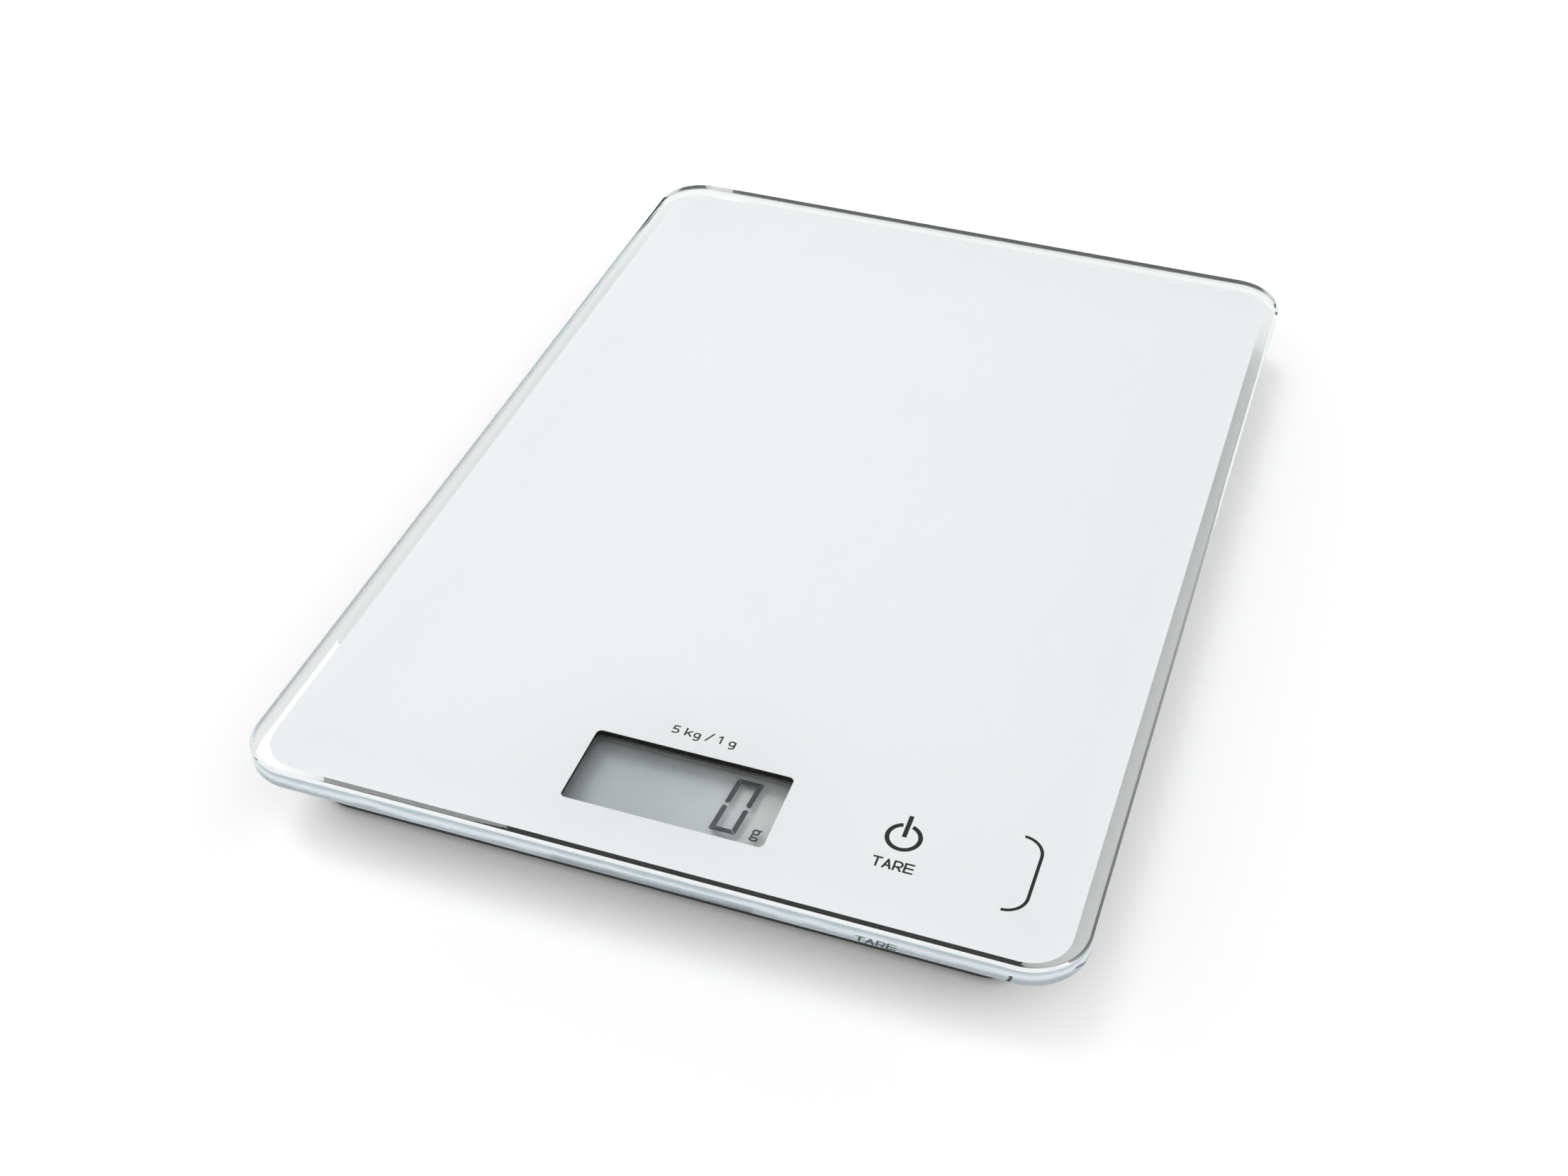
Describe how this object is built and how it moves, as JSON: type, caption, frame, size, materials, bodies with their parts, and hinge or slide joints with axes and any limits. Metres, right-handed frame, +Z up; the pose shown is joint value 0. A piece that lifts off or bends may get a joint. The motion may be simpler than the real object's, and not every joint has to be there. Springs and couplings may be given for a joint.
{
  "type": "digital kitchen scale",
  "caption": "Slim flat digital kitchen scale: clear glass platform with white back print, small display, touch key, dark inset housing on weighing feet.",
  "frame": {"origin": "centre of the footprint, at the level of the table that the feet stand on", "axes": "+X to the right of a person facing the display, +Y away from that person, +Z up"},
  "size_m": [0.145, 0.208, 0.015],
  "materials": {
    "glass_clear": "polished tempered float glass with ground edges",
    "enamel_white": "fired white enamel seen through the glass",
    "ink_black": "black screen print",
    "tape_foam": "closed-cell foam tape",
    "housing_black": "fine spark-eroded moulded texture",
    "trim_black": "fine moulded texture",
    "label_silver": "blank satin label",
    "gauge_foil": "amber film with foil grid",
    "clip_grey": "moulded grey",
    "reflector_grey": "matt reflector film",
    "display_glass": "thin clear glass",
    "seal_resin": "clear resin",
    "segment_dark": "lit liquid-crystal segments",
    "polariser_film": "matt anti-glare film",
    "frame_white": "moulded white",
    "zebra_rubber": "striped conductive rubber",
    "gasket_foam": "black foam",
    "board_green": "green solder mask",
    "screw_steel": "zinc plated",
    "epoxy_black": "epoxy glob",
    "chip_black": "moulded package with tinned legs",
    "capacitor_tan": "ceramic with tinned ends",
    "can_steel": "drawn can",
    "copper_foil": "copper foil",
    "switch_black": "moulded black",
    "plunger_white": "moulded white",
    "coin_steel": "nickel-plated steel",
    "contact_nickel": "nickel-plated spring strip",
    "cell_steel": "stamped alloy steel",
    "pad_rubber": "moulded rubber",
    "wire_red": "PVC insulation",
    "wire_white": "PVC insulation",
    "wire_black": "PVC insulation"
  },
  "bodies": {
    "housing": {"glass_plate": "glass_clear", "glass_print_white": "enamel_white", "control_marks": "ink_black", "bonding_tape": "tape_foam", "base_housing": "housing_black", "rating_label": "label_silver", "strain_gauges": "gauge_foil", "cell_clips": "clip_grey", "lcd_reflector": "reflector_grey", "lcd_rear_glass": "display_glass", "lcd_seal": "seal_resin", "lcd_segments": "segment_dark", "lcd_front_glass": "display_glass", "lcd_polariser": "polariser_film", "lcd_frame": "frame_white", "zebra_strip": "zebra_rubber", "window_gasket": "gasket_foam", "circuit_board": "board_green", "board_screws": "screw_steel", "controller_chip": "epoxy_black", "amplifier_chip": "chip_black", "chip_capacitors": "capacitor_tan", "crystal": "can_steel", "touch_electrode": "copper_foil", "tact_switch": "switch_black", "battery_cell": "coin_steel", "contact_negative": "contact_nickel", "contact_positive": "contact_nickel", "wires_red": "wire_red", "wires_white": "wire_white", "wires_black": "wire_black", "load_cell_front_left": "cell_steel", "load_cell_front_right": "cell_steel", "load_cell_rear_left": "cell_steel", "load_cell_rear_right": "cell_steel"},
    "unit_button": {"unit_button": "trim_black", "switch_plunger": "plunger_white"},
    "battery_door": {"battery_door": "trim_black"},
    "weighing_foot_front_left": {"foot_front_left": "trim_black", "foot_pad_front_left": "pad_rubber"},
    "weighing_foot_front_right": {"foot_front_right": "trim_black", "foot_pad_front_right": "pad_rubber"},
    "weighing_foot_rear_left": {"foot_rear_left": "trim_black", "foot_pad_rear_left": "pad_rubber"},
    "weighing_foot_rear_right": {"foot_rear_right": "trim_black", "foot_pad_rear_right": "pad_rubber"}
  },
  "joints": [
    {"name": "foot_front_left_travel", "type": "slide", "parent": "housing", "child": "weighing_foot_front_left", "axis": [0, 0, 1], "range_m": [0, 0.0004], "stiffness_N_per_m": 2500, "deforming": ["load_cell_front_left"]},
    {"name": "foot_front_right_travel", "type": "slide", "parent": "housing", "child": "weighing_foot_front_right", "axis": [0, 0, 1], "range_m": [0, 0.0004], "stiffness_N_per_m": 2500, "deforming": ["load_cell_front_right"]},
    {"name": "foot_rear_left_travel", "type": "slide", "parent": "housing", "child": "weighing_foot_rear_left", "axis": [0, 0, 1], "range_m": [0, 0.0004], "stiffness_N_per_m": 2500, "deforming": ["load_cell_rear_left"]},
    {"name": "foot_rear_right_travel", "type": "slide", "parent": "housing", "child": "weighing_foot_rear_right", "axis": [0, 0, 1], "range_m": [0, 0.0004], "stiffness_N_per_m": 2500, "deforming": ["load_cell_rear_right"]},
    {"name": "battery_door_hinge", "type": "hinge", "parent": "housing", "child": "battery_door", "pos_m": [0, -0.0154, 0.0022], "axis": [1, 0, 0], "range_deg": [0, 100]},
    {"name": "unit_button_press", "type": "slide", "parent": "housing", "child": "unit_button", "axis": [0, 0, 1], "range_m": [0, 0.0003], "stiffness_N_per_m": 3200}
  ]
}
